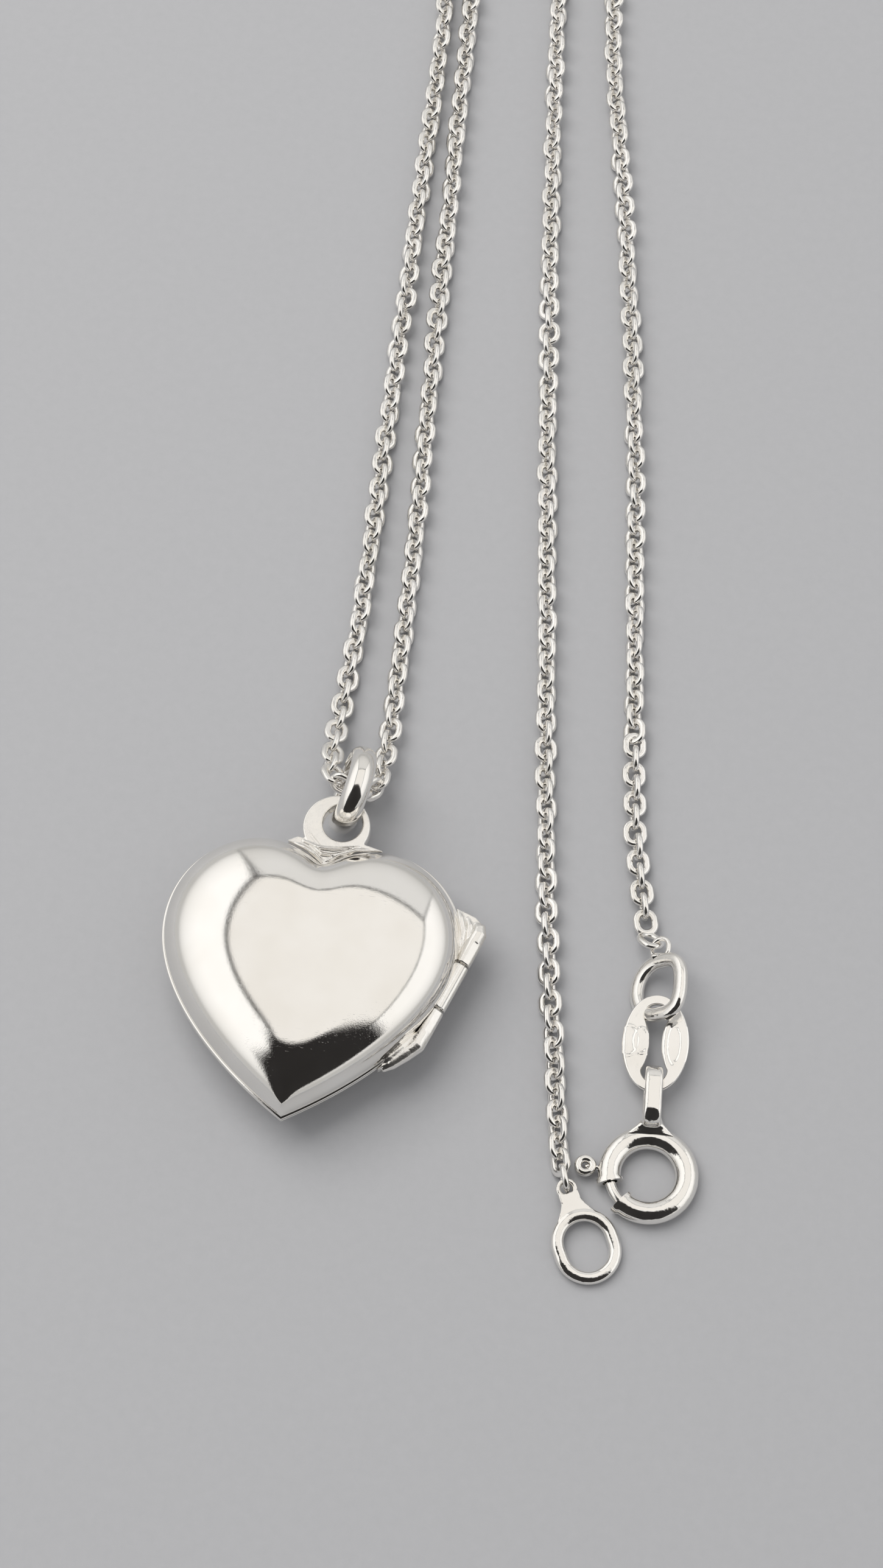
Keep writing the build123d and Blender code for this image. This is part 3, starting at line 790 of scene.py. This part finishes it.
def make_eye():
    """Eye soldered in the cleft, with the drawn-out ridges of its solder."""
    disc = disc_with_hole(EYE_CENTRE, EYE_RADIUS, EYE_HOLE, EYE_HOLE_RADIUS,
                          EYE_UNDERSIDE, box_mm("eye")[1].z)
    ridges = [ridge(*line) for line in SOLDER_LINES]
    wedge = plate(WEDGE, SEAM_Z - 0.3, WEDGE_TOP)
    piece = fused("eye_and_solder", [disc, wedge] + ridges, 0.045, 3)
    settle(piece, "locket_back", "hinge_silver", "eye")


BAIL_RADIUS = 2.65            # to the outside of the wire
BAIL_WIDTH = 1.5
BAIL_THICKNESS = 0.9
BAIL_SIDE = 0.28              # the wire's flat side, up to where its round back starts


def bail_profile(arc=14):
    """Half-round wire, its flat inside: (outward from the wire's back, across)."""
    inner = -BAIL_THICKNESS
    profile = [(inner + x, share * BAIL_WIDTH) for x, share in
               ((0.06, -0.44), (0.0, -0.40), (0.0, 0.40), (0.06, 0.44), (BAIL_SIDE, 0.5))]
    for k in range(1, arc):
        angle = pi * (0.5 - k / arc)
        profile.append((inner + BAIL_SIDE + (BAIL_THICKNESS - BAIL_SIDE) * cos(angle),
                        BAIL_WIDTH / 2 * sin(angle)))
    profile.append((inner + BAIL_SIDE, -0.5 * BAIL_WIDTH))
    return profile


def make_bail(count=96):
    """Closed ring of half-round wire through the eye and round the chain."""
    axis = -joint_axis("locket_on_bail")
    away = Vector((-axis.y, axis.x, 0)).normalized()
    centre = joint_point("locket_on_bail")
    places = []
    for k in range(count):
        angle = 2 * pi * k / count
        outward = away * cos(angle) + axis.cross(away) * sin(angle)
        places.append(place_at(centre + outward * BAIL_RADIUS, outward, axis))
    piece = mesh_object("bail_ring", swept(places, bail_profile()))
    settle(piece, "bail", "bail_silver", "bail")


# ---- clasp ----
RING_CENTRE = joint_point("trigger_pull")
AT_RING = Matrix.Translation(RING_CENTRE)
CLASP_LINE = joint_axis("spring_ring_swing").cross(UP)
CLASP_SIDE = CLASP_LINE.cross(UP)
RING_MEAN = 2.15              # radius of the tube's centre line
TUBE_RADIUS = 0.65
TUBE_HEIGHT = 1.2
BORE_RADIUS = 0.42
COLLAR = 1.17                 # width of the tube's ends, as a share of the tube's
COLLAR_ROWS = 3
GAP = (199.0, 231.0)          # degrees round the ring
SLOT = (131.0, 186.0)
SLOT_HALF_HEIGHT = 0.17
TRIGGER_ARC = (157.0, 237.0)
TRIGGER_WIRE = 0.58
KNOB_ANGLE = 179.0
KNOB_REACH = 3.5
KNOB_ROLL = 0.4               # radius that the knob's wire is rolled to
KNOB_TURN = 352               # degrees that it is rolled through
KNOB_WIRE = 0.44
KNOB_HEIGHT = 0.6
KNOB_TAIL = (-0.36, 0.0)      # start and end of the wire's straight tail inside the roll
TAIL_WIRE = 0.24
STEM_WIRE = 0.26
STEM_STATIONS = (RING_MEAN, 2.8, 3.1, 3.2)    # distances from the ring's centre


def on_clasp_line(along, height):
    """Point on the clasp's line, measured from the spring ring towards the chain."""
    point = RING_CENTRE + CLASP_LINE * along
    return Vector((point.x, point.y, height))


def clasp_place(along, height, tilt):
    """Place on the clasp's line, its x axis tilted up or down about that line."""
    tilted = CLASP_SIDE * cos(radians(tilt)) - UP * sin(radians(tilt))
    return place_at(on_clasp_line(along, height), tilted, CLASP_LINE)


def spring_ring_shape(count=40, rows=120):
    """Bent tube with square-cut ends, an open bore and the trigger's slot."""
    places = arc_frames(RING_MEAN, GAP[1], GAP[0] + 360, rows)
    outer = []
    for k, place in enumerate(places):
        collar = COLLAR if min(k, rows - 1 - k) < COLLAR_ROWS else 1.0
        profile = ring_profile(2 * TUBE_RADIUS * collar, TUBE_HEIGHT, count=count)
        outer.append(section(place, profile))
    inner = [section(place, ring_profile(2 * BORE_RADIUS, count=count)) for place in places]
    points, faces = skin(outer + list(reversed(inner)), around=True)
    slotted = []
    for face in faces:
        middle = sum((points[k] for k in face), Vector()) / len(face)
        angle = np.degrees(np.arctan2(middle.y, middle.x)) % 360
        beyond = hypot(middle.x, middle.y) > RING_MEAN
        level = abs(middle.z) < SLOT_HALF_HEIGHT
        if not (SLOT[0] < angle < SLOT[1] and beyond and level):
            slotted.append(face)
    return points, slotted


def make_spring_ring():
    """Spring ring's tube, the walls of its slot closed between bore and outside."""
    piece = mesh_object("spring_ring_tube", moved(spring_ring_shape(), AT_RING))
    with edited(piece.data) as edit:
        rim = [edge for edge in edit.edges if edge.is_boundary]
        bmesh.ops.bridge_loops(edit, edges=rim)
        bmesh.ops.recalc_face_normals(edit, faces=edit.faces)
    piece.data.shade_smooth()
    mark_sharp(piece, 40)
    settle(piece, "spring_ring", "clasp_silver", "spring_ring_body")


def mark_sharp(piece, degrees):
    """Edges that turn by more than an angle stay crisp."""
    with edited(piece.data) as edit:
        for edge in edit.edges:
            edge.smooth = edge.calc_face_angle(0.0) < radians(degrees)


def make_trigger():
    """Curved wire with rounded ends, its stem, and the knob rolled from the stem's wire."""
    places = arc_frames(RING_MEAN, *TRIGGER_ARC, 40)
    sizes = [0.55, 0.9] + [1.0] * (len(places) - 4) + [0.9, 0.55]
    bow = skin([section(place, ring_profile(TRIGGER_WIRE, count=20), size)
                for place, size in zip(places, sizes)], caps=True)
    outward = Vector((cos(radians(KNOB_ANGLE)), sin(radians(KNOB_ANGLE)), 0))
    across = UP.cross(outward)
    stem = swept([place_at(outward * reach, across, UP) for reach in STEM_STATIONS],
                 ring_profile(STEM_WIRE, count=12), around=False)
    at_knob = Matrix.Translation(outward * KNOB_REACH)
    rolled = swept([at_knob @ place for place in arc_frames(KNOB_ROLL, 0, KNOB_TURN, 30)],
                   ring_profile(KNOB_WIRE, KNOB_HEIGHT, power=2.4, count=14))
    tail = swept([at_knob @ place_at(outward * reach, across, UP) for reach in KNOB_TAIL],
                 ring_profile(TAIL_WIRE, count=10), around=False)
    piece = mesh_object("trigger_wire", moved(joined([bow, stem, rolled, tail]), AT_RING))
    settle(piece, "trigger", "clasp_silver", "trigger")


LOOP_NEAR = 2.5               # ends of the loop, along the clasp's line
LOOP_FAR = 6.2
LOOP_HEIGHT = 2.2
LOOP_WIDTH = 1.0
LOOP_THICKNESS = 0.45
LOOP_FOOT = (    # (along, half width, underside, top) of the solder
    (2.15, 1.35, 1.0, 1.24), (2.5, 1.0, 0.95, 1.34), (2.85, 0.7, 0.25, 1.6),
    (3.3, 0.5, 0.2, 2.05),
)


def make_clasp_loop():
    """Upright loop of flat wire, its foot flared into the ring by solder."""
    middle = on_clasp_line((LOOP_NEAR + LOOP_FAR) / 2, LOOP_HEIGHT / 2)
    places = []
    for place in oval_frames(LOOP_FAR - LOOP_NEAR, LOOP_HEIGHT, LOOP_THICKNESS, 56):
        outward = CLASP_LINE * place.col[0].y + UP * place.col[0].x
        offset = CLASP_LINE * place.translation.y + UP * place.translation.x
        places.append(place_at(middle + offset, outward, CLASP_SIDE))
    strip = swept(places, ring_profile(LOOP_THICKNESS, LOOP_WIDTH, power=3.0, count=20))
    foot = []
    for along, half, low, high in LOOP_FOOT:
        place = place_at(on_clasp_line(along, (low + high) / 2), CLASP_SIDE, UP)
        foot.append(section(place, ring_profile(2 * half, high - low, power=2.4, count=24)))
    piece = fused("clasp_loop_and_solder", [strip, skin(foot, caps=True)], 0.05, 5)
    settle(piece, "spring_ring", "clasp_silver", "clasp_loop")


TAG_HALF_LENGTH = 2.88
TAG_HALF_WIDTH = 1.88
TAG_THICKNESS = 0.34
TAG_AT = (7.5, 1.2, -7.0)     # along the clasp's line, height, tilt
TAG_EDGE_DROPS = (0.07, 0.02)    # drop of each face at its edges and one ring in
KEYHOLE_RADIUS = 0.74         # at both ends of the slot
KEYHOLE_PLACE = 1.58
KEYHOLE_WAIST = 0.36          # half the slot's width at its middle
RELIEF_HEIGHT = 0.035
RELIEF_HALF_WIDTH = 0.07
RELIEF_OVALS = (    # (centre x, centre y, half width, half height)
    (1.13, -0.05, 0.36, 1.12), (-1.5, 0.1, 0.62, 0.9), (-0.75, 0.1, 0.42, 0.75),
)


def keyhole_half_width(y):
    """Half the slot's width: round at both ends, and drawn in smoothly to its waist."""
    away = abs(y) - KEYHOLE_PLACE
    if away > 0:
        return max(0.0, KEYHOLE_RADIUS ** 2 - away ** 2) ** 0.5
    return KEYHOLE_WAIST + (KEYHOLE_RADIUS - KEYHOLE_WAIST) * (abs(y) / KEYHOLE_PLACE) ** 2.4


def tag_relief(x, y):
    """Height of the raised oval lines: one frames the right wing, two cross on the left."""
    height = 0.0
    for centre_x, centre_y, half_x, half_y in RELIEF_OVALS:
        reach = hypot((x - centre_x) / half_x, (y - centre_y) / half_y)
        from_line = abs((reach - 1) * min(half_x, half_y))
        height = max(height, RELIEF_HEIGHT * max(0.0, 1 - from_line / RELIEF_HALF_WIDTH))
    return height


def tag_outlines(count=200):
    """Rings of points round the tag's slot and its rim, matched one to one."""
    slot, rim = [], []
    for k in range(count):
        angle = 2 * pi * (k + 0.5) / count
        y = (KEYHOLE_PLACE + KEYHOLE_RADIUS) * sin(angle)
        slot.append((keyhole_half_width(y) * (1 if cos(angle) > 0 else -1), y))
        rim.append((TAG_HALF_WIDTH * cos(angle), TAG_HALF_LENGTH * sin(angle)))
    return softened(np.array(slot), 2), np.array(rim)


def make_tag(rows=22):
    """Oval tag with its keyhole slot, rolled edges and raised ovals."""
    slot, rim = tag_outlines()
    upper, under = [], []
    for row in range(rows + 1):
        share = row / rows
        edge = min(row, rows - row)
        drop = TAG_EDGE_DROPS[edge] if edge < len(TAG_EDGE_DROPS) else 0.0
        top = TAG_THICKNESS / 2 - drop
        ring = slot * (1 - share) + rim * share
        upper.append([Vector((x, y, top + tag_relief(x, y))) for x, y in ring])
        under.append([Vector((x, y, -top)) for x, y in ring])
    shape = skin(upper + under[::-1], around=True)
    place = clasp_place(*TAG_AT)
    piece = mesh_object("oval_tag", moved(shape, place))
    mark_sharp(piece, 50)
    settle(piece, "tag", "clasp_silver", "tag")


def d_frames(length, width, wire, count):
    """Places round a ring lying flat: round on its left side, nearly straight on its right."""
    line = []
    for k in range(count):
        angle = 2 * pi * k / count
        x, y = cos(angle), sin(angle)
        power_x, power_y = (0.55, 0.8) if x > 0 else (0.95, 1.0)
        line.append(Vector(((width - wire) / 2 * signed_power(x, power_x),
                            (length - wire) / 2 * signed_power(y, power_y), 0)))
    places = []
    for k, point in enumerate(line):
        ahead = line[(k + 1) % count] - line[k - 1]
        places.append(place_at(point, ahead.cross(UP), UP))
    return places


JOINING_RING_AT = (10.75, 1.46, -42.0)    # along the clasp's line, height, tilt
JOINING_RING_LENGTH = 4.08
JOINING_RING_WIDTH = 3.98
JOINING_RING_WIRE = 0.84
JOINING_RING_THICKNESS = 0.68
SMALL_EYE_AT = (13.2, 1.36, -35.0)
SMALL_EYE_LENGTH = 1.5
SMALL_EYE_WIDTH = 1.4
SMALL_EYE_WIRE = 0.3
EYE_SOLDER = (    # (along the clasp's line, height, width, thickness)
    (12.35, 1.40, 0.9, 0.3), (12.6, 1.46, 1.25, 0.6), (12.85, 1.42, 0.85, 0.35),
)


def make_joining_ring():
    """Soldered ring, flattened on its right side, and the small rough eye on top of it."""
    place = clasp_place(*JOINING_RING_AT)
    spots = d_frames(JOINING_RING_LENGTH, JOINING_RING_WIDTH, JOINING_RING_WIRE, 72)
    ring = swept([place @ spot for spot in spots],
                 ring_profile(JOINING_RING_WIRE, JOINING_RING_THICKNESS, power=2.3, count=18))
    piece = mesh_object("joining_ring_wire", ring)
    settle(piece, "joining_ring", "clasp_silver", "joining_ring")
    place = clasp_place(*SMALL_EYE_AT)
    spots = oval_frames(SMALL_EYE_LENGTH, SMALL_EYE_WIDTH, SMALL_EYE_WIRE, 44)
    eye = swept([place @ spot for spot in spots], ring_profile(SMALL_EYE_WIRE, count=14))
    solder = skin([section(place_at(on_clasp_line(along, height), CLASP_SIDE, UP),
                           ring_profile(width, thickness, count=14))
                   for along, height, width, thickness in EYE_SOLDER], caps=True)
    small = fused("joining_ring_solder_eye", [eye, solder], 0.04, 3)
    settle(small, "joining_ring", "clasp_silver", "joining_ring_eye")


END_LINK_TURN = 50            # degrees that the clasp's last link is turned in the small eye
END_LINK_TILT = 55


def make_end_link(name, place, node):
    """A single link, turned as its place is, in the middle of its CAD node."""
    low, high = box_mm(node)
    place.translation = (low + high) / 2
    piece = mesh_object(name, moved(link_shape(), place))
    settle(piece, "chain", "chain_silver", node)


def make_end_links():
    """The chain's last links: upright in the end ring's tab, and tilted in the small eye."""
    along = joint_axis("end_ring_swing").cross(UP)
    make_end_link("last_link_at_ring", place_at((0, 0, 0), UP, along), "ring_end_link")
    place = clasp_place(*SMALL_EYE_AT) @ turned(END_LINK_TURN, "Z") @ turned(END_LINK_TILT, "Y")
    make_end_link("last_link_at_clasp", place, "clasp_end_link")


END_RING_CENTRE = (17.5, -12.95, 0.45)
END_RING_TURN = 26
END_RING_TILT = 4
END_RING_LENGTH = 4.25
END_RING_WIDTH = 3.75
END_RING_WIRE = 0.72
END_RING_THICKNESS = 0.64
TAB_HOLE = (0, 3.35)
TAB_RADIUS = 0.6
TAB_HOLE_RADIUS = 0.33
TAB_TOP = 0.2                 # above the ring's middle plane, and as far below it
NECK_TOP = 0.22
NECK = [(-0.56, 3.1), (-0.57, 2.6), (-0.76, 2.2), (-1.1, 1.72), (-0.6, 1.6),
        (0.6, 1.6), (1.1, 1.72), (0.76, 2.2), (0.57, 2.6), (0.56, 3.1)]


def make_end_ring():
    """Oval end ring whose tab grows out of it and is pierced for the last link."""
    turn = turned(END_RING_TURN, "Z") @ turned(END_RING_TILT, "X")
    place = Matrix.Translation(END_RING_CENTRE) @ turn
    ring = swept(oval_frames(END_RING_LENGTH, END_RING_WIDTH, END_RING_WIRE, 72),
                 ring_profile(END_RING_WIRE, END_RING_THICKNESS, power=2.3, count=18))
    washer = disc_with_hole(TAB_HOLE, TAB_RADIUS, TAB_HOLE, TAB_HOLE_RADIUS, -TAB_TOP, TAB_TOP,
                            bevel=0.06, count=40)
    neck = plate(NECK, -NECK_TOP, NECK_TOP)
    piece = fused("end_ring_and_tab", [moved(shape, place) for shape in (ring, washer, neck)],
                  0.045, 4)
    settle(piece, "end_ring", "clasp_silver", "end_ring")


# ---- surroundings ----
def flat_face(name, corners):
    """Object of a single flat face, its corners in millimetres."""
    mesh = bpy.data.meshes.new(name)
    mesh.from_pydata([tuple(c * MM for c in corner) for corner in corners], [],
                     [tuple(range(len(corners)))])
    return in_scene(name, mesh)


def flat_emitter(name, corners, colour, strength, fade=None):
    """Card that only reflections see: part of the soft tent round the object.

    fade is (centre, near, far, share): the card dims between two distances from a point.
    """
    card = flat_face(name, corners)
    nodes = Nodes(name)
    nodes.tree.nodes.remove(nodes.shader)
    emission = nodes.add("ShaderNodeEmission", {"Color": (*colour, 1), "Strength": strength})
    if fade:
        centre, near, far, share = fade
        place = nodes.add("ShaderNodeNewGeometry").outputs["Position"]
        away = nodes.add("ShaderNodeVectorMath", {0: place, 1: tuple(c * MM for c in centre)},
                         operation="DISTANCE").outputs["Value"]
        dimmed = nodes.ramp(away, near * MM, far * MM, strength, strength * share)
        nodes.feed(emission, {"Strength": dimmed})
    nodes.feed(nodes.tree.nodes["Material Output"], {"Surface": emission.outputs["Emission"]})
    card.data.materials.append(nodes.material)
    for ray in ("camera", "diffuse", "shadow", "transmission"):
        setattr(card, "visible_" + ray, False)


ROOF_HEIGHT = 300
ROOF_REACH = 7000
OVERHEAD = (60, 40, ROOF_HEIGHT)
TENT_WARM = (1.0, 0.975, 0.94)
TENT_WHITE = (1.0, 0.99, 0.975)
TENT_DARK = (0.5, 0.5, 0.52)
VIEWER_DARK = (0.5, 0.47, 0.46)


def roof_card(name, outline, colour, strength, fade=None, height=ROOF_HEIGHT):
    """Level card over the object."""
    flat_emitter(name, [(x, y, height) for x, y in outline], colour, strength, fade)


def make_tent():
    """Soft white tent with thin dark seams, open and dark on the viewer's side.

    The seams are the gaps between its four white cards, with a dark card just above them.
    """
    far, wide, wider = ROOF_REACH, 1.6 * ROOF_REACH, 2.2 * ROOF_REACH
    roof_card("tent_dark", [(-far, -far), (far, -far), (far, far), (-far, far)],
              TENT_DARK, 0.04, height=ROOF_HEIGHT + 6)
    roof_card("tent_top", [(-84, -160), (222, -160), (222, 240), (-84, 212)], TENT_WARM, 0.92)
    roof_card("tent_left", [(-far, -far), (-99, -far), (-99, 225), (-far, wider)],
              TENT_WHITE, 1.1, (OVERHEAD, 350, 1500, 0.5))
    roof_card("tent_right", [(233, -far), (far, -far), (far, wide), (233, 256)],
              TENT_WHITE, 1.05, (OVERHEAD, 380, 1700, 0.5))
    roof_card("tent_back", [(-84, 226), (222, 256), (far, wide), (-far, wider)],
              TENT_WHITE, 0.76, (OVERHEAD, 400, 1800, 0.65))
    roof_card("viewer_side", [(-58, -4), (40, -8), (124, -52), (420, -230), (420, -900),
                              (-900, -900), (-174, -117), (-84, -44)],
              VIEWER_DARK, 0.05, height=172)


LAMP_PLACE = Vector((-220, 180, 500))
LAMP_SIZE = 500


def make_light():
    """Even sky light with one large soft lamp above and to the left."""
    world = bpy.data.worlds.new("sky")
    bpy.context.scene.world = world
    world.use_nodes = True
    background = world.node_tree.nodes["Background"]
    background.inputs["Color"].default_value = (0.97, 0.98, 1.0, 1)
    background.inputs["Strength"].default_value = 0.55
    data = bpy.data.lights.new("soft_lamp", "AREA")
    data.shape = "RECTANGLE"
    data.size = LAMP_SIZE * MM
    data.size_y = LAMP_SIZE * MM
    data.energy = 2.6
    data.color = (1.0, 0.985, 0.96)
    lamp = in_scene("soft_lamp", data)
    lamp.location = LAMP_PLACE * MM
    lamp.rotation_euler = (-LAMP_PLACE).to_track_quat("-Z", "Y").to_euler()
    lamp.visible_glossy = False


FLOOR_REACH = 1200


def make_floor():
    """Plain pale table top."""
    floor = flat_face("table_top", [(x * FLOOR_REACH, y * FLOOR_REACH, 0)
                                    for x, y in ((-1, -1), (1, -1), (1, 1), (-1, 1))])
    nodes = Nodes("table_top")
    speckle = nodes.noise(nodes.millimetres(), 1.6, 4.0, 0.7)
    nodes.feed(nodes.shader, {
        "Base Color": nodes.mix(speckle, (0.38, 0.38, 0.39, 1), (0.42, 0.42, 0.43, 1)),
        "Roughness": 0.7,
    })
    floor.data.materials.append(nodes.material)


# ---- put together ----
make_camera()
make_light()
make_tent()
make_floor()
paint_frame()
make_covers()
make_middle_knuckle()
make_top_knuckle()
make_bottom_knuckle()
make_eye()
make_bail()
make_spring_ring()
make_trigger()
make_clasp_loop()
make_tag()
make_joining_ring()
make_end_links()
make_end_ring()
links, chain_line, chain_length = chain_links()

bpy.context.scene.view_settings.view_transform = "Standard"
